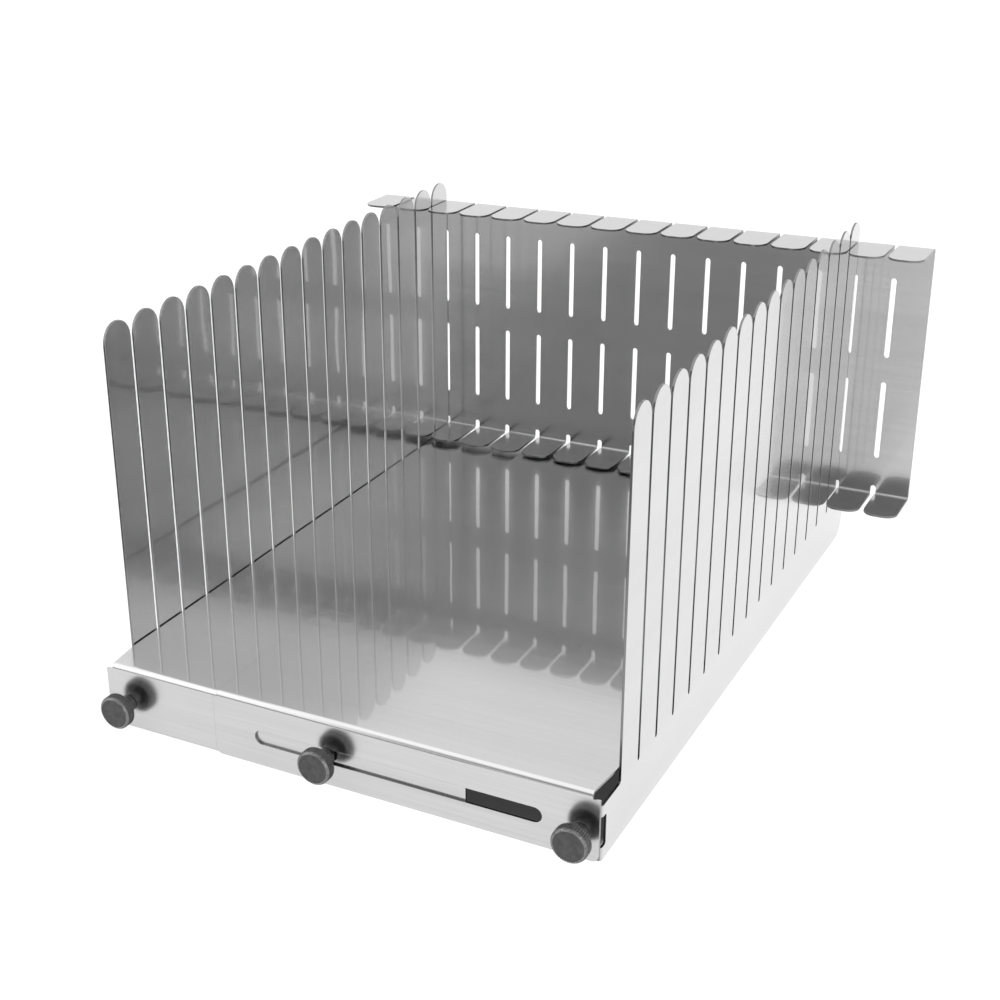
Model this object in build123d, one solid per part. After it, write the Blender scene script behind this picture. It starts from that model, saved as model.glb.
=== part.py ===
from build123d import *
from math import cos, pi, sin
import os

# Adjustable bread slicing guide in folded stainless sheet.
# Millimetres. X runs across the guide, Y from its front to its back, Z up. The origin is on the
# floor, midway between the two comb walls and midway between the thumb screws' faces and the
# rear feet of the walls.

# ---- driving dimensions ---------------------------------------------------------------
SHEET = 0.8                # thickness of every folded sheet
NEST_GAP = 0.1             # air between the two telescoping trays
SLICE_PITCH = 15.0         # thickness of one slice: the pitch of the knife slots
KNIFE_SLOTS = 15           # slots in each comb wall
KNIFE_SLOT_WIDTH = 1.6
SLOT_END_FACETS = 4        # straight facets round the end of each narrow slot
FINGER_FACETS = 12         # round the top of each finger
COLUMN_PITCH = 15.0        # pitch of the back plate's notches
COLUMNS = 15               # notches along the back plate
WALL_COLUMN = 6            # the walls stand in the columns this far each side of the middle

BASE_HEIGHT = 23.5         # top of the outer tray
COMB_ROOT = 19.0           # floor of the knife slots, and the ledge in front of the first finger
FINGER_TOP = 137.0
FIRST_FINGER = 15.3        # front edge of the first finger behind the outer flange

TRAY_WIDTH = 135.0         # length of one tray's flange
TRAY_TO_WALL = 0.5         # air between a flange end and its wall
FLANGE_REACH = 1.0         # the front flange runs on this far past the tray's side
TRAY_CORNER_INSET = 1.4    # the tray's top is this much narrower at its bends
TRAY_BEND = 1.0            # inside radius
FLANGE_CORNER = 2.5        # rounded bottom corners of the flanges
FLANGE_EAR_DROP = 0.3      # the flange ears stop this far below the bend

WALL_BEND = 0.6            # inside radius of the wall's front bend
TAB_WIDTH = 13.0           # front tab, measured from the wall's inner face
TAB_CORNER = 3.0
LEDGE_FILLET = 1.2
RELIEF_LENGTH = 4.3        # bend relief slot, behind the outer flange's face
RELIEF_LOW = 4.4
RELIEF_HIGH = 15.1
RELIEF_REACH = 2.4         # how far the relief runs along the tab from the wall's inner face
RELIEF_CORNER = 0.8
FOOT_LENGTH = 11.4         # the wall's foot behind the back plate
FOOT_CORNER = 7.5
HOOK_HEIGHT = 4.8          # the foot's hook rises this far behind the plate's web
HOOK_CORNER = 3.0
HOOK_TIP = 0.9

PLATE_TOP = 128.4
PLATE_TO_BASE = 0.8        # air from the trays to the plate
PLATE_GAP = 0.2            # air from the last fingers to the plate, and on to the feet's hooks
THROAT_GAP = 0.5           # air from the feet to the tops of the plate's short slots
PLATE_BEND = 0.6           # inside radius
TAB_DEPTH = 22.0           # the plate's tabs, in front of its web
TAB_ROUND = 5.0
TAB_FACETS = 5             # round each corner of a tab
BEND_FACETS = 3            # round each bend of the plate
NOTCH_WIDTH = 1.6          # gap between two tabs
SHORT_SLOT = 4.2           # how far a notch runs on into the web
WEB_SLOT_WIDTH = 2.2
LONG_SLOT = 32.5           # length of the two slots in each column
LOWER_SLOT_RISE = 16.0     # their lower ends, above the plate's bottom
UPPER_SLOT_RISE = 58.4

LOCK_SCREW_X = -3.0
LOCK_SCREW_HEIGHT = 10.5
LEFT_SCREW_X = -81.8
RIGHT_SCREW_X = 83.9
CORNER_SCREW_HEIGHT = 9.1
SHAFT_RADIUS = 1.95
SHAFT_REACH = 9.0          # the shaft's tip behind the outer flange's face
HOLE_CLEARANCE = 0.3       # radial, shaft to sheet
NUT_CLEARANCE = 0.07       # radial, shaft to nut
SEAT_GAP = 0.15            # air between a thumb screw's collar and the flange
HEAD_RADIUS = 6.0
HEAD_THICKNESS = 4.2
HEAD_STANDOFF = 8.6        # face of the head in front of the flange it clamps
HEAD_CHAMFER = 0.6
COLLAR_RADIUS = 3.0
KNURLS = 48
KNURL_DEPTH = 0.25
KNURL_STEP = 0.05          # the head's chamfers start this far below the knurl's valleys
NUT_FLATS = 7.0
NUT_HEIGHT = 3.2

LOCK_SLOT_START = 15.8     # from the outer tray's free end
LOCK_SLOT_MARGIN = 12.2    # from the slot's other end to the corner screw's axis
LOCK_SLOT_HEIGHT = 5.2

# ---- places worked out from them ------------------------------------------------------
wall_mid_x = WALL_COLUMN * COLUMN_PITCH
wall_inner_x = wall_mid_x - SHEET / 2
wall_outer_x = wall_mid_x + SHEET / 2
tray_end_x = wall_inner_x - TRAY_TO_WALL

last_finger = FIRST_FINGER + (KNIFE_SLOTS + 1) * SLICE_PITCH - KNIFE_SLOT_WIDTH
plate_front = last_finger + PLATE_GAP
plate_back = plate_front + SHEET
foot_end = plate_back + FOOT_LENGTH
guide_depth = foot_end + HEAD_STANDOFF
flange_y = HEAD_STANDOFF - guide_depth / 2      # outer flange's face in the part's own frame

inner_flange = SHEET + NEST_GAP                 # inner tray's face behind the outer one's
inner_height = BASE_HEIGHT - SHEET - NEST_GAP
finger_width = SLICE_PITCH - KNIFE_SLOT_WIDTH
plate_bottom = BASE_HEIGHT + PLATE_TO_BASE
short_slot_top = plate_bottom + SHORT_SLOT
throat_floor = short_slot_top - THROAT_GAP
plate_half = ((COLUMNS + 1) * COLUMN_PITCH - NOTCH_WIDTH) / 2
column_x = [(i - (COLUMNS - 1) / 2) * COLUMN_PITCH for i in range(COLUMNS)]
lock_slot_start_x = tray_end_x - TRAY_WIDTH + LOCK_SLOT_START
lock_slot_end_x = RIGHT_SCREW_X - LOCK_SLOT_MARGIN
LEFT_SCREW = (LEFT_SCREW_X, CORNER_SCREW_HEIGHT)
LOCK_SCREW = (LOCK_SCREW_X, LOCK_SCREW_HEIGHT)
RIGHT_SCREW = (RIGHT_SCREW_X, CORNER_SCREW_HEIGHT)


def block(x0, x1, y0, y1, z0, z1):
    """A box between two corners; y is counted from the outer flange's face."""
    size = Box(x1 - x0, y1 - y0, z1 - z0, align=(Align.MIN, Align.MIN, Align.MIN))
    return Pos(x0, y0 + flange_y, z0) * size


def rod(place, y0, y1, radius):
    """A cylinder along Y about a place in (x, z)."""
    return Pos(place[0], y0 + flange_y, place[1]) * Rot(-90, 0, 0) * extrude(Circle(radius), y1 - y0)


def upright(sketch, x0, x1):
    """A side view sketched in (y, z), made into a sheet between two x places."""
    return Pos(x0, flange_y, 0) * extrude(Plane.YZ * sketch, x1 - x0)


def facing(sketch, y0, y1):
    """A front view sketched in (x, z), made into a sheet between two y places."""
    plane = Plane(origin=(0, y0 + flange_y, 0), x_dir=(1, 0, 0), z_dir=(0, -1, 0))
    return extrude(plane * sketch, -(y1 - y0))


def flat(sketch, z0, z1):
    """A plan view sketched in (x, y), made into a sheet between two heights."""
    return Pos(0, flange_y, z0) * extrude(sketch, z1 - z0)


def rect(u0, u1, v0, v1):
    """A sketched rectangle between two corners."""
    return Pos((u0 + u1) / 2, (v0 + v1) / 2) * Rectangle(u1 - u0, v1 - v0)


def rounded(sketch, corners, radius):
    """The sketch with its vertices at the given corners rounded."""
    chosen = [v for v in sketch.vertices()
              if any(abs(v.X - c[0]) + abs(v.Y - c[1]) < 0.01 for c in corners)]
    return fillet(chosen, radius)


def arc(u, v, radius, start, turn, facets):
    """Points round a sketched arc about (u, v), with angles in degrees."""
    angles = [(start + turn * i / facets) * pi / 180 for i in range(facets + 1)]
    return [(u + radius * cos(a), v + radius * sin(a)) for a in angles]


def slot(u, low, high, width):
    """A sketched slot along v with faceted round ends."""
    half = width / 2
    top = arc(u, high - half, half, 0, 180, SLOT_END_FACETS)
    bottom = arc(u, low + half, half, 180, 180, SLOT_END_FACETS)
    return Polygon(*top, *bottom, align=None)


def x_edges(solid, z):
    """The edges of a solid that run along X at one height."""
    return [e for e in solid.edges().filter_by(Axis.X) if abs(e.center().Z - z) < 0.001]


# ---- base trays -----------------------------------------------------------------------
def channel(x0, x1, y0, y1, height):
    """A folded channel: a top with a flange down to the floor at its front and its back."""
    outside = block(x0, x1, y0, y1, 0, height)
    outside = fillet(x_edges(outside, height), TRAY_BEND + SHEET)
    roof = height - SHEET
    inside = block(x0 - SHEET, x1 + SHEET, y0 + SHEET, y1 - SHEET, -SHEET, roof)
    inside = fillet(x_edges(inside, roof), TRAY_BEND)
    return outside - inside


def tray_blank(y0, y1, height):
    """The right hand tray: flanges with rounded feet, and a top that narrows at its bends."""
    outer_x = tray_end_x
    free_x = outer_x - TRAY_WIDTH
    bend = SHEET + TRAY_BEND
    ear_top = height - bend - FLANGE_EAR_DROP
    flanges = []
    for end_x, y in ((outer_x + FLANGE_REACH, y0), (outer_x, y1 - SHEET)):
        feet = [(free_x, 0), (end_x, 0)]
        side = rounded(rect(free_x, end_x, 0, ear_top), feet, FLANGE_CORNER)
        flanges.append(facing(side, y, y + SHEET))
    narrow = outer_x - TRAY_CORNER_INSET
    top = Polygon(
        (free_x + TRAY_CORNER_INSET, y0), (narrow, y0), (narrow, y0 + bend),
        (outer_x, FIRST_FINGER), (outer_x, y1 - FIRST_FINGER), (narrow, y1 - bend),
        (narrow, y1), (free_x + TRAY_CORNER_INSET, y1), align=None)
    blank = channel(free_x, outer_x + FLANGE_REACH, y0, y1, height)
    return blank & (flanges[0] + flanges[1] + flat(top, ear_top, height))


def right_base_tray():
    """Outer tray, with the slot that the width lock screw runs in."""
    tray = tray_blank(0, plate_back, BASE_HEIGHT)
    length = lock_slot_end_x - lock_slot_start_x
    run = SlotOverall(length, LOCK_SLOT_HEIGHT)
    run = Pos(lock_slot_start_x + length / 2, LOCK_SCREW_HEIGHT) * run
    hole = rod(RIGHT_SCREW, -SHEET, 3 * SHEET, SHAFT_RADIUS + HOLE_CLEARANCE)
    return tray - hole - facing(run, -SHEET, 3 * SHEET)


def left_base_tray():
    """Inner tray, nested under the outer one, with a round hole for each of its two screws."""
    tray = tray_blank(inner_flange, plate_back - inner_flange, inner_height)
    tray = mirror(tray, about=Plane.YZ)
    for place in (LEFT_SCREW, LOCK_SCREW):
        tray -= rod(place, 0, 4 * SHEET, SHAFT_RADIUS + HOLE_CLEARANCE)
    return tray


# ---- comb walls -----------------------------------------------------------------------
def comb_outline(y_start):
    """Side view of the wall's flat sheet: fingers, ledge, and the hooked foot at the back."""
    half = finger_width / 2
    ledge = rect(y_start, FIRST_FINGER + half, 0, COMB_ROOT)
    comb = rect(FIRST_FINGER, last_finger, 0, FINGER_TOP - half)
    for i in range(KNIFE_SLOTS + 1):
        y = FIRST_FINGER + half + i * SLICE_PITCH
        comb += Polygon(*arc(y, FINGER_TOP - half, half, 0, 180, FINGER_FACETS), align=None)
    corner = rect(FIRST_FINGER - LEDGE_FILLET, FIRST_FINGER,
                  COMB_ROOT, COMB_ROOT + LEDGE_FILLET)
    corner -= Pos(FIRST_FINGER - LEDGE_FILLET, COMB_ROOT + LEDGE_FILLET) * Circle(LEDGE_FILLET)
    outline = ledge + comb + corner
    for i in range(KNIFE_SLOTS):
        y = FIRST_FINGER - KNIFE_SLOT_WIDTH / 2 + (i + 1) * SLICE_PITCH
        outline -= slot(y, COMB_ROOT, FINGER_TOP + KNIFE_SLOT_WIDTH, KNIFE_SLOT_WIDTH)
    return outline + foot_outline()


def foot_outline():
    """Side view of the foot: it passes through the plate's short slot and hooks up behind it."""
    hook_top = throat_floor + HOOK_HEIGHT
    hook_front = plate_back + PLATE_GAP
    foot = rect(last_finger - finger_width, foot_end, 0, throat_floor)
    foot += rect(hook_front, foot_end, 0, hook_top)
    foot = rounded(foot, [(foot_end, 0)], FOOT_CORNER)
    foot = rounded(foot, [(foot_end, hook_top)], HOOK_CORNER)
    return rounded(foot, [(hook_front, hook_top)], HOOK_TIP)


def comb_wall(tab_face):
    """Right hand wall whose front edge is folded inwards into a tab behind its tray's flange."""
    outside = WALL_BEND + SHEET
    sheet = upright(comb_outline(tab_face + outside), wall_inner_x, wall_outer_x)
    tab_end = wall_inner_x - TAB_WIDTH
    plan = rect(tab_end, wall_outer_x, tab_face, tab_face + 2 * outside)
    plan = rounded(plan, [(wall_outer_x, tab_face)], outside)
    inner = rect(tab_end - SHEET, wall_inner_x, tab_face + SHEET, tab_face + 3 * outside)
    plan -= rounded(inner, [(wall_inner_x, tab_face + SHEET)], WALL_BEND)
    fold = flat(plan, 0, COMB_ROOT)
    face = rounded(rect(tab_end, wall_outer_x, 0, COMB_ROOT),
                   [(tab_end, 0), (tab_end, COMB_ROOT)], TAB_CORNER)
    fold &= facing(face, 0, RELIEF_LENGTH + FIRST_FINGER)
    relief = rounded(rect(-SHEET, RELIEF_LENGTH, RELIEF_LOW, RELIEF_HIGH),
                     [(RELIEF_LENGTH, RELIEF_LOW), (RELIEF_LENGTH, RELIEF_HIGH)], RELIEF_CORNER)
    return sheet + fold - upright(relief, wall_inner_x - RELIEF_REACH, wall_outer_x + SHEET)


def right_comb_wall():
    """The outer tray's wall, with the hole for its corner screw."""
    reach = SHEET + 2 * SHEET
    return comb_wall(SHEET) - rod(RIGHT_SCREW, 0, reach, SHAFT_RADIUS + HOLE_CLEARANCE)


def left_comb_wall():
    """The inner tray's wall, handed, with the hole for its corner screw."""
    tab_face = inner_flange + SHEET
    wall = mirror(comb_wall(tab_face), about=Plane.YZ)
    return wall - rod(LEFT_SCREW, 0, tab_face + 2 * SHEET, SHAFT_RADIUS + HOLE_CLEARANCE)


# ---- back plate -----------------------------------------------------------------------
def tab_row():
    """Plan view of one row of tabs, with rounded free corners, from their tips to the web."""
    centre = plate_front - TAB_DEPTH + TAB_ROUND
    row = Sketch()
    for i in range(COLUMNS + 1):
        x0 = -plate_half + i * COLUMN_PITCH
        x1 = x0 + COLUMN_PITCH - NOTCH_WIDTH
        left = arc(x0 + TAB_ROUND, centre, TAB_ROUND, 180, 90, TAB_FACETS)
        right = arc(x1 - TAB_ROUND, centre, TAB_ROUND, 270, 90, TAB_FACETS)
        row += Polygon((x0, plate_back), *left, *right, (x1, plate_back), align=None)
    return row


def plate_section():
    """Side view of the folded plate: a web with a flange forward at its top and its bottom."""
    tip = plate_front - TAB_DEPTH
    outer = PLATE_BEND + SHEET
    y = plate_back - outer
    low, high = plate_bottom + outer, PLATE_TOP - outer
    return Polygon(
        (tip, PLATE_TOP - SHEET), *arc(y, high, PLATE_BEND, 90, -90, BEND_FACETS),
        *arc(y, low, PLATE_BEND, 0, -90, BEND_FACETS), (tip, plate_bottom + SHEET),
        (tip, plate_bottom), *arc(y, low, outer, -90, 90, BEND_FACETS),
        *arc(y, high, outer, 0, 90, BEND_FACETS), (tip, PLATE_TOP), align=None)


def back_plate():
    """Web with rows of slots, and tabs folded forward along its top and bottom edges."""
    low_bend = plate_bottom + SHEET + PLATE_BEND
    high_bend = PLATE_TOP - SHEET - PLATE_BEND
    web = block(-plate_half, plate_half, 0, plate_back, low_bend, high_bend)
    tabs = flat(tab_row(), plate_bottom, low_bend) + flat(tab_row(), high_bend, PLATE_TOP)
    plate = upright(plate_section(), -plate_half, plate_half) & (web + tabs)

    cuts = Sketch()
    low, high = plate_bottom + LOWER_SLOT_RISE, plate_bottom + UPPER_SLOT_RISE
    spans = ((low, low + LONG_SLOT), (high, high + LONG_SLOT),
             (plate_bottom - SHORT_SLOT, short_slot_top),
             (PLATE_TOP - SHORT_SLOT, PLATE_TOP + SHORT_SLOT))
    for x in column_x:
        for low, high in spans:
            cuts += slot(x, low, high, WEB_SLOT_WIDTH)
    return plate - facing(cuts, plate_front - PLATE_BEND, plate_back + SHEET)


# ---- thumb screws and nuts ------------------------------------------------------------
def head_rim(height):
    """Knurled disc between two plain chamfered faces, standing up along Z."""
    valley = HEAD_RADIUS - KNURL_DEPTH
    radii = [valley, HEAD_RADIUS] * KNURLS
    teeth = [(r * cos(i * pi / KNURLS), r * sin(i * pi / KNURLS)) for i, r in enumerate(radii)]
    knurl = extrude(Polygon(*teeth, align=None), height / 2 - HEAD_CHAMFER)
    face = extrude(RegularPolygon(valley - KNURL_STEP, KNURLS), HEAD_CHAMFER, taper=45)
    upper = knurl + Pos(0, 0, height / 2 - HEAD_CHAMFER) * face
    return Pos(0, 0, height / 2) * (upper + mirror(upper, about=Plane.XY))


def thumb_screw(place, seat):
    """Knurled thumb screw whose collar stands on the flange face at seat."""
    face = seat - HEAD_STANDOFF
    collar = rod(place, face + HEAD_THICKNESS, seat - SEAT_GAP, COLLAR_RADIUS)
    shaft = rod(place, seat - SEAT_GAP, SHAFT_REACH, SHAFT_RADIUS)
    turn = Pos(place[0], face + flange_y, place[1]) * Rot(-90, 0, 0)
    return turn * head_rim(HEAD_THICKNESS) + collar + shaft


def weld_nut(place, seat):
    """Hexagonal nut on the back of the sheet at seat."""
    hexagon = RegularPolygon(NUT_FLATS / 2, 6, major_radius=False)
    nut = extrude(hexagon, NUT_HEIGHT) - Cylinder(SHAFT_RADIUS + NUT_CLEARANCE, 3 * NUT_HEIGHT)
    return Pos(place[0], seat + flange_y, place[1]) * Rot(-90, 0, 0) * nut


inner_seat = inner_flange          # face of the inner tray's flange
inner_back = inner_flange + SHEET
NODES = {
    "left_base_tray": left_base_tray,
    "right_base_tray": right_base_tray,
    "left_comb_wall": left_comb_wall,
    "right_comb_wall": right_comb_wall,
    "back_plate": back_plate,
    "left_corner_screw": lambda: thumb_screw(LEFT_SCREW, inner_seat),
    "width_lock_screw": lambda: thumb_screw(LOCK_SCREW, 0),
    "right_corner_screw": lambda: thumb_screw(RIGHT_SCREW, 0),
    "left_corner_nut": lambda: weld_nut(LEFT_SCREW, inner_back + SHEET),
    "width_lock_nut": lambda: weld_nut(LOCK_SCREW, inner_back),
    "right_corner_nut": lambda: weld_nut(RIGHT_SCREW, 2 * SHEET),
}

os.makedirs("parts", exist_ok=True)
for name, make in NODES.items():
    solid = make()
    solid = solid.solids()[0] if len(solid.solids()) == 1 else solid
    export_step(solid, f"parts/{name}.step")
    box = solid.bounding_box()
    print(name, len(solid.solids()), round(solid.volume, 1),
          [round(v, 2) for v in (*box.min, *box.max)])
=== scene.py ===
"""Looks, camera, floor and light of the bread slicer guide. Lengths are in metres."""

import bpy
from mathutils import Matrix, Vector


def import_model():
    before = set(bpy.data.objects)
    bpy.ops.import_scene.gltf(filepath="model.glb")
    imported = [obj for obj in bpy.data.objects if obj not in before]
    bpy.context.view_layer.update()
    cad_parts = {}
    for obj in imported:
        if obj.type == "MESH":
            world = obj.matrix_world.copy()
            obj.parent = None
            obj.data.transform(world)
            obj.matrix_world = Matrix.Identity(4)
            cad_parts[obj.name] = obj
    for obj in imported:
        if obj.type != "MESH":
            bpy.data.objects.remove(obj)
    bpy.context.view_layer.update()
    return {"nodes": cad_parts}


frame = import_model()


# ---- camera ----------------------------------------------------------------------------
CAMERA_PLACE = (0.2366, -0.5045, 0.2868)
CAMERA_RIGHT = (0.8764, 0.4811, -0.0207)
CAMERA_FORWARD = (-0.4494, 0.8016, -0.3943)
SENSOR_MM = 36
LENS_MM = 58.73
SHIFT_X, SHIFT_Y = 0.0996, 0.0071       # what the photograph's framing needs
CLIP_START = 0.02


def camera():
    """The photograph's viewpoint, solved from the guide's repeating slots."""
    right = Vector(CAMERA_RIGHT).normalized()
    forward = Vector(CAMERA_FORWARD).normalized()
    up = right.cross(forward).normalized()
    right = forward.cross(up)
    data = bpy.data.cameras.new("camera")
    data.sensor_fit = "HORIZONTAL"
    data.sensor_width = SENSOR_MM
    data.lens = LENS_MM
    data.shift_x = SHIFT_X
    data.shift_y = SHIFT_Y
    data.clip_start = CLIP_START
    eye = bpy.data.objects.new("camera", data)
    bpy.context.collection.objects.link(eye)
    turn = Matrix((right, up, -forward)).transposed()
    eye.matrix_world = Matrix.Translation(CAMERA_PLACE) @ turn.to_4x4()
    bpy.context.scene.camera = eye


camera()


# ---- node helpers ----------------------------------------------------------------------
RAMP_ENDS = (0.3, 0.7)      # where the middle of a noise factor starts and ends
EDGE_SAMPLES = 6


def material(name):
    made = bpy.data.materials.new(name)
    made.use_nodes = True
    tree = made.node_tree
    return made, tree, tree.nodes["Principled BSDF"]


def add(tree, kind, **values):
    """A node with its properties and its unlinked inputs set."""
    node = tree.nodes.new(kind)
    for key, value in values.items():
        if key in node.inputs:
            node.inputs[key].default_value = value
        else:
            setattr(node, key, value)
    return node


def maths(tree, operation, *terms):
    """A Math node over links and numbers."""
    node = tree.nodes.new("ShaderNodeMath")
    node.operation = operation
    for place, term in zip(node.inputs, terms):
        if isinstance(term, (int, float)):
            place.default_value = term
        else:
            tree.links.new(term, place)
    return node.outputs[0]


def inverse(tree, fac):
    return maths(tree, "SUBTRACT", 1.0, fac)


def blend(tree, first, share, second):
    """A mix of two factors, of which the first has the given share."""
    return maths(tree, "ADD", maths(tree, "MULTIPLY", first, share),
                 maths(tree, "MULTIPLY", second, 1.0 - share))


def mapped(tree, source, scale):
    node = add(tree, "ShaderNodeMapping")
    node.inputs["Scale"].default_value = scale
    tree.links.new(source, node.inputs["Vector"])
    return node.outputs["Vector"]


def noise(tree, vector, size, detail=2.0, rough=0.5):
    node = add(tree, "ShaderNodeTexNoise", Scale=size, Detail=detail, Roughness=rough)
    tree.links.new(vector, node.inputs["Vector"])
    return node.outputs["Fac"]


def between(tree, fac, low, high):
    """Maps a 0..1 factor onto a range."""
    node = add(tree, "ShaderNodeMapRange")
    node.inputs["To Min"].default_value = low
    node.inputs["To Max"].default_value = high
    tree.links.new(fac, node.inputs["Value"])
    return node.outputs["Result"]


def smooth(tree, value, start, end):
    """An eased step from 0 at start to 1 at end, whichever of the two is the larger."""
    node = add(tree, "ShaderNodeMapRange", interpolation_type="SMOOTHSTEP")
    node.inputs["From Min"].default_value = start
    node.inputs["From Max"].default_value = end
    tree.links.new(value, node.inputs["Value"])
    return node.outputs["Result"]


def grey(value):
    return (value, value, value, 1)


def shades(tree, fac, dark, light):
    """A grey ramp over the middle of a noise factor."""
    ramp = add(tree, "ShaderNodeValToRGB")
    low, high = ramp.color_ramp.elements
    low.position, high.position = RAMP_ENDS
    low.color, high.color = grey(dark), grey(light)
    tree.links.new(fac, ramp.inputs["Fac"])
    return ramp.outputs["Color"]


def edge_normal(tree, radius):
    """The surface normal with sharp edges eased over a small radius."""
    return add(tree, "ShaderNodeBevel", Radius=radius, samples=EDGE_SAMPLES).outputs["Normal"]


def bump(tree, height, normal, distance):
    node = add(tree, "ShaderNodeBump", Strength=1.0, Distance=distance)
    tree.links.new(height, node.inputs["Height"])
    tree.links.new(normal, node.inputs["Normal"])
    return node.outputs["Normal"]


def split(tree, vector):
    """The X, Y and Z outputs of a vector."""
    node = add(tree, "ShaderNodeSeparateXYZ")
    tree.links.new(vector, node.inputs[0])
    return node.outputs


def steepness(tree, vector, axis):
    """How much of a unit vector lies along an axis, either way."""
    return maths(tree, "ABSOLUTE", split(tree, vector)[axis])


def along(tree, vector, axis, start, end):
    """1 where a unit vector lies along an axis, eased from one steepness to another."""
    return smooth(tree, steepness(tree, vector, axis), start, end)


# ---- cut edges, unpolished and painted dark as shade -----------------------------------
RIMS_BELOW = 0.0205         # height under the top sheet, below which a level face is a rim
TAB_FRONTS = 0.122          # the plate's tabs end in front of this depth


def wall_cut_and_shade(tree, _place, normal):
    """Every edge of a comb wall stands square to its faces, which look left and right; the
    edges are painted darker as shade.
    """
    return inverse(tree, along(tree, normal, "X", 0.5, 0.9))


def tray_cut_and_shade(tree, place, normal):
    """The side edges of a tray, and the rims of its slots and holes below the top sheet,
    painted darker as shade in the slots and the gap between trays.
    """
    sides = along(tree, normal, "X", 0.3, 0.7)
    low = maths(tree, "LESS_THAN", split(tree, place)["Z"], RIMS_BELOW)
    rims = maths(tree, "MULTIPLY", along(tree, normal, "Z", 0.6, 0.9), low)
    return maths(tree, "MAXIMUM", sides, rims)


def plate_cut_and_shade(tree, place, normal):
    """The side edges of the plate and its slots, and the front ends of its tabs, all painted
    darker as shade.
    """
    sides = along(tree, normal, "X", 0.3, 0.7)
    ahead = maths(tree, "LESS_THAN", split(tree, place)["Y"], TAB_FRONTS)
    ends = maths(tree, "MULTIPLY", along(tree, normal, "Y", 0.5, 0.8), ahead)
    return maths(tree, "MAXIMUM", sides, ends)


# ---- materials -------------------------------------------------------------------------
GRAIN_ACROSS, GRAIN_ALONG = 900, 14     # noise scale across and along the brushing
BAND_WIDTH = 12                         # a band's width in grain lines
GRAIN_DEPTH = 0.0000012
FLECK_DEPTH = 0.000006
SHEET_EDGE, SCREW_EDGE = 0.00025, 0.00015
DARK_SHARE, LIGHT_SHARE, CUT_SHADE_SHARE = 0.88, 1.08, 0.45       # of a sheet's tone; the cut share is a painted shade on cut edges and rims
SCREW_DARK, SCREW_LIGHT, SCREW_WORN = 0.07, 0.105, 0.34
RING_WEAR, EDGE_WEAR = 0.5, 0.9


def brushed_sheet(name, tone, grain_axis, rough, waviness, polish, polish_rough, cut_and_shade):
    """Stainless sheet: a brushed grain on one axis under a polish that mirrors more sharply.
    Its cut edges take no polish, and are painted darker as shade."""
    made, tree, shader = material(name)
    place = add(tree, "ShaderNodeTexCoord").outputs["Object"]
    stretch = [GRAIN_ACROSS, GRAIN_ACROSS, GRAIN_ACROSS]
    stretch["XYZ".index(grain_axis)] = GRAIN_ALONG
    coarse = [scale / BAND_WIDTH for scale in stretch]
    grain = noise(tree, mapped(tree, place, stretch), size=1.0, detail=3.0, rough=0.6)
    bands = noise(tree, mapped(tree, place, coarse), size=1.0)
    haze = noise(tree, place, size=18.0, detail=4.0, rough=0.6)
    smudges = noise(tree, place, size=75.0, detail=4.0, rough=0.65)
    waves = noise(tree, place, size=26.0, detail=1.0, rough=0.4)
    dull = blend(tree, grain, 0.4, smudges)
    tree.links.new(between(tree, dull, *rough), shader.inputs["Roughness"])
    shade = blend(tree, grain, 0.35, blend(tree, bands, 0.6, haze))
    eased = edge_normal(tree, SHEET_EDGE)
    cut_and_shade_mask = cut_and_shade(tree, place, eased)
    # The cut edges' colour is darkened here as painted shade; their lack of polish is real.
    mix = add(tree, "ShaderNodeMix", data_type="RGBA")
    tree.links.new(cut_and_shade_mask, mix.inputs["Factor"])
    tree.links.new(shades(tree, shade, tone * DARK_SHARE, tone * LIGHT_SHARE), mix.inputs["A"])
    mix.inputs["B"].default_value = grey(tone * CUT_SHADE_SHARE)
    tree.links.new(mix.outputs["Result"], shader.inputs["Base Color"])
    tree.links.new(inverse(tree, cut_and_shade_mask), shader.inputs["Coat Weight"])
    surface = bump(tree, waves, eased, waviness)
    surface = bump(tree, grain, surface, GRAIN_DEPTH)
    tree.links.new(surface, shader.inputs["Normal"])
    tree.links.new(surface, shader.inputs["Coat Normal"])
    shader.inputs["Metallic"].default_value = 1.0
    shader.inputs["Coat IOR"].default_value = polish
    shader.inputs["Coat Roughness"].default_value = polish_rough
    return made


def matt_front(made):
    """Takes the polish off the faces that look to the front or back, which are only brushed."""
    tree = made.node_tree
    place = tree.nodes["Principled BSDF"].inputs["Coat Weight"]
    polished = place.links[0].from_socket
    normal = add(tree, "ShaderNodeNewGeometry").outputs["Normal"]
    square = along(tree, normal, "Y", 0.85, 0.97)
    tree.links.new(maths(tree, "MULTIPLY", polished, inverse(tree, square)), place)


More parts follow.
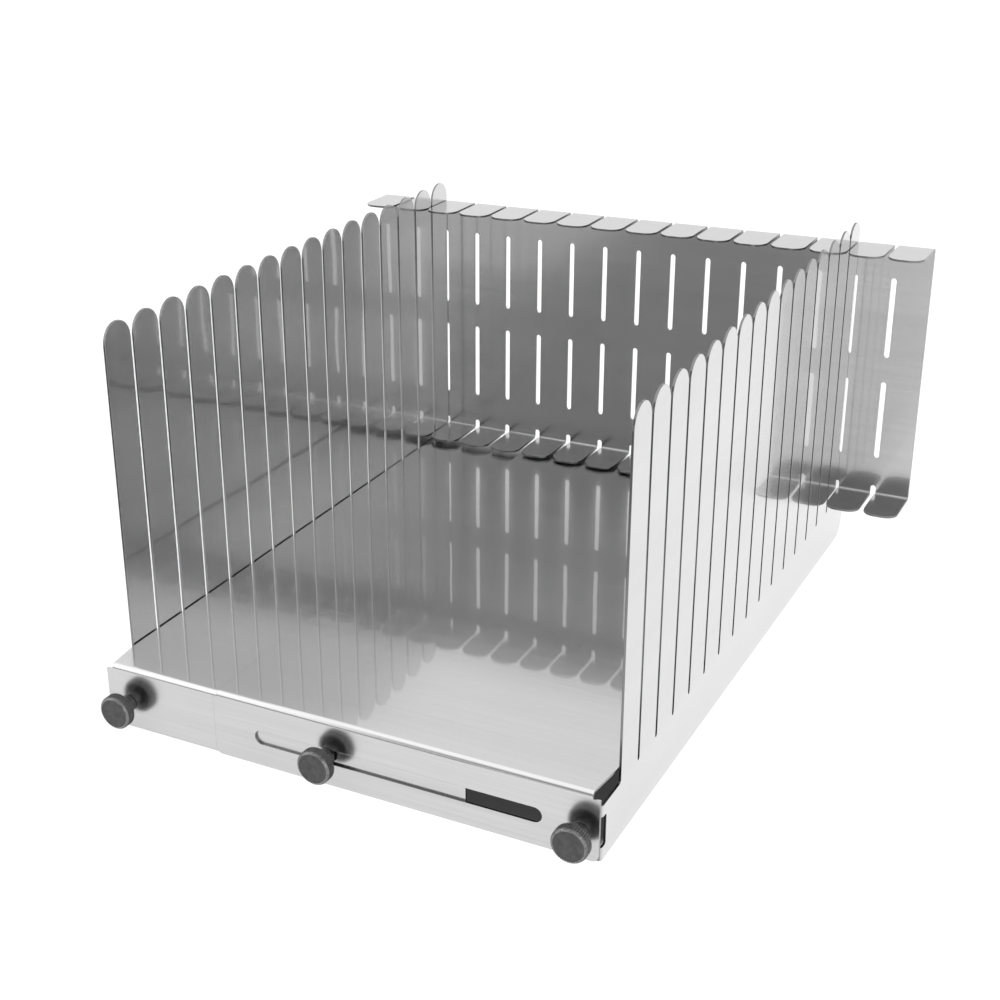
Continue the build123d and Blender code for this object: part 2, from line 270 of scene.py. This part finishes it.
def screw_steel():
    """Blackened steel, a little mottled, worn bright on the heads' chamfers and sharp edges."""
    made, tree, shader = material("screw_steel")
    place = add(tree, "ShaderNodeTexCoord").outputs["Object"]
    mottle = noise(tree, place, size=500.0, detail=3.0, rough=0.6)
    flecks = noise(tree, place, size=1800.0, detail=2.0, rough=0.7)
    normal = add(tree, "ShaderNodeNewGeometry").outputs["Normal"]
    facing = steepness(tree, normal, "Y")
    ring = maths(tree, "MULTIPLY", smooth(tree, facing, 0.55, 0.65),
                 between(tree, smooth(tree, facing, 0.80, 0.9), RING_WEAR, 0.0))
    eased = edge_normal(tree, SCREW_EDGE)
    match = add(tree, "ShaderNodeVectorMath", operation="DOT_PRODUCT")
    tree.links.new(normal, match.inputs[0])
    tree.links.new(eased, match.inputs[1])
    sharp = smooth(tree, match.outputs["Value"], 0.99, 0.93)
    bare = maths(tree, "MAXIMUM", ring, maths(tree, "MULTIPLY", sharp, EDGE_WEAR))
    worn = maths(tree, "MULTIPLY", bare, smooth(tree, flecks, 0.3, 0.55))
    mix = add(tree, "ShaderNodeMix", data_type="RGBA")
    tree.links.new(worn, mix.inputs["Factor"])
    tree.links.new(shades(tree, mottle, SCREW_DARK, SCREW_LIGHT), mix.inputs["A"])
    mix.inputs["B"].default_value = grey(SCREW_WORN)
    tree.links.new(mix.outputs["Result"], shader.inputs["Base Color"])
    tree.links.new(between(tree, mottle, 0.24, 0.4), shader.inputs["Roughness"])
    tree.links.new(bump(tree, flecks, eased, FLECK_DEPTH), shader.inputs["Normal"])
    shader.inputs["Metallic"].default_value = 1.0
    return made


def dress(node, made):
    mesh = frame["nodes"][node].data
    mesh.materials.clear()
    mesh.materials.append(made)


base_steel = brushed_sheet("base_steel", tone=0.60, grain_axis="X", rough=(0.17, 0.25),
                           waviness=0.00006, polish=2.6, polish_rough=0.035, cut_and_shade=tray_cut_and_shade)
comb_steel = brushed_sheet("comb_steel", tone=0.52, grain_axis="Y", rough=(0.18, 0.26),
                           waviness=0.00018, polish=2.5, polish_rough=0.045, cut_and_shade=wall_cut_and_shade)
plate_steel = brushed_sheet("plate_steel", tone=0.49, grain_axis="X", rough=(0.20, 0.28),
                            waviness=0.00010, polish=2.2, polish_rough=0.08, cut_and_shade=plate_cut_and_shade)
nut_metal = brushed_sheet("nut_metal", tone=0.55, grain_axis="Y", rough=(0.3, 0.4),
                          waviness=0.00002, polish=1.5, polish_rough=0.2, cut_and_shade=tray_cut_and_shade)
matt_front(base_steel)
dress("left_base_tray", base_steel)
dress("right_base_tray", base_steel)
dress("left_comb_wall", comb_steel)
dress("right_comb_wall", comb_steel)
dress("back_plate", plate_steel)
screws = screw_steel()
for side in ("left_corner", "width_lock", "right_corner"):
    dress(side + "_screw", screws)
    dress(side + "_nut", nut_metal)


# ---- floor, backdrop and light ---------------------------------------------------------
FLOOR_SPAN = 12.0
# The floor's glow, and its low glow under the guide, which is a painted shadow.
FLOOR_GLOW, PAINTED_SHADOW_GLOW = 1.0, 0.04
FLOOR_DARK, FLOOR_LIGHT, FLOOR_WHITE = 0.11, 0.13, 0.96
GUIDE_Y = -0.009                        # the middle of the floor under the guide, and of the painted shadow there
PAINTED_SHADOW_X = (0.086, 0.0895)               # half widths over which the painted shadow under the guide gives way to the glow
PAINTED_SHADOW_Y = (0.117, 0.1195)
# A dark card that only reflections see, painting a dark reflection into the guide's front
# faces.
REFLECTION_CARD_LEFT, REFLECTION_CARD_RIGHT, REFLECTION_CARD_NEAR, REFLECTION_CARD_FAR = -0.9, 0.02, -1.2, -0.19
REFLECTION_CARD_HEIGHT = 0.001
PAINTED_REFLECTION_DARK, PAINTED_REFLECTION_LIGHT = 0.17, 0.22
BACK_GLOW, SIDE_GLOW, BAND_GLOW, ROOM_GLOW = 0.62, 1.3, 0.7, 0.33


def axis_distance(tree, vector, axis, centre):
    """How far a point lies from a plane square to one axis."""
    return maths(tree, "ABSOLUTE", maths(tree, "SUBTRACT", split(tree, vector)[axis], centre))


def rectangle(name, left, right, near, far, height, made):
    """A level rectangle in one material."""
    mesh = bpy.data.meshes.new(name)
    mesh.from_pydata([(left, near, height), (right, near, height),
                      (right, far, height), (left, far, height)], [], [(0, 1, 2, 3)])
    mesh.materials.append(made)
    laid = bpy.data.objects.new(name, mesh)
    bpy.context.collection.objects.link(laid)
    return laid


def floor():
    """A white floor that glows, so it takes next to no shadow, except under the guide, where
    the glow is cut down to a painted shadow.
    """
    made, tree, shader = material("floor_white")
    place = add(tree, "ShaderNodeTexCoord").outputs["Object"]
    ramp = add(tree, "ShaderNodeValToRGB")
    ramp.color_ramp.elements[0].color = grey(FLOOR_DARK)
    ramp.color_ramp.elements[1].color = grey(FLOOR_LIGHT)
    tree.links.new(noise(tree, place, size=9.0), ramp.inputs["Fac"])
    tree.links.new(ramp.outputs["Color"], shader.inputs["Base Color"])
    shader.inputs["Roughness"].default_value = 0.9
    shader.inputs["Emission Color"].default_value = grey(FLOOR_WHITE)
    # 0 under the guide, where a painted shadow replaces the glow, and 1 away from it.
    clear = maths(tree, "MAXIMUM",
                  smooth(tree, axis_distance(tree, place, "X", 0.0), *PAINTED_SHADOW_X),
                  smooth(tree, axis_distance(tree, place, "Y", GUIDE_Y), *PAINTED_SHADOW_Y))
    tree.links.new(between(tree, clear, PAINTED_SHADOW_GLOW, FLOOR_GLOW),
                   shader.inputs["Emission Strength"])
    ground = rectangle("floor", -FLOOR_SPAN, FLOOR_SPAN, -FLOOR_SPAN, FLOOR_SPAN, 0, made)


def painted_reflection_card():
    """A dark card lying in front of the guide, which only its reflections show: it is a painted
    reflection that darkens the guide's steel.
    """
    made, tree, shader = material("painted_reflection_black")
    place = add(tree, "ShaderNodeTexCoord").outputs["Object"]
    tone = shades(tree, noise(tree, place, size=6.0), PAINTED_REFLECTION_DARK, PAINTED_REFLECTION_LIGHT)
    tree.links.new(tone, shader.inputs["Base Color"])
    shader.inputs["Roughness"].default_value = 0.95
    card = rectangle("painted_reflection_card", REFLECTION_CARD_LEFT, REFLECTION_CARD_RIGHT, REFLECTION_CARD_NEAR, REFLECTION_CARD_FAR, REFLECTION_CARD_HEIGHT, made)
    # Hidden from the camera, from diffuse light and from shadows, so it only paints a dark
    # reflection.
    card.visible_camera = False
    card.visible_diffuse = False
    card.visible_shadow = False


def world():
    """A white room: bright at its sides in front of the guide, dim between them, fairly
    bright behind the guide and overhead. A low band all round carries the floor's white
    on past its far edge."""
    sky = bpy.data.worlds.new("studio")
    bpy.context.scene.world = sky
    sky.use_nodes = True
    tree = sky.node_tree
    back = tree.nodes["Background"]
    way = add(tree, "ShaderNodeTexCoord").outputs["Generated"]
    height = split(tree, way)["Z"]
    behind = smooth(tree, split(tree, way)["Y"], -0.35, 0.35)
    beside = along(tree, way, "X", 0.40, 0.50)
    ahead = maths(tree, "MULTIPLY", beside, inverse(tree, behind))
    softbox = smooth(tree, height, 0.50, 0.85)
    band = maths(tree, "MULTIPLY", smooth(tree, height, 0.17, 0.09), BAND_GLOW)
    walls = maths(tree, "MAXIMUM", maths(tree, "MULTIPLY", behind, BACK_GLOW),
                  maths(tree, "MAXIMUM", maths(tree, "MULTIPLY", ahead, SIDE_GLOW), band))
    glow = maths(tree, "ADD", maths(tree, "MAXIMUM", softbox, walls), ROOM_GLOW)
    tree.links.new(glow, back.inputs["Strength"])
    back.inputs["Color"].default_value = grey(1)


def area(name, place, target, size, watts):
    """A soft light that shows in no reflection."""
    data = bpy.data.lights.new(name, "AREA")
    data.shape = "RECTANGLE"
    data.size, data.size_y = size
    data.energy = watts
    lamp = bpy.data.objects.new(name, data)
    bpy.context.collection.objects.link(lamp)
    lamp.location = place
    lamp.visible_glossy = False
    lamp.visible_camera = False
    aim = Vector(target) - Vector(place)
    lamp.rotation_euler = aim.to_track_quat("-Z", "Y").to_euler()


floor()
painted_reflection_card()
world()
area("overhead", place=(0, 0, 2.0), target=(0, 0, 0), size=(3.0, 3.0), watts=2.0)

bpy.context.scene.view_settings.view_transform = "Standard"
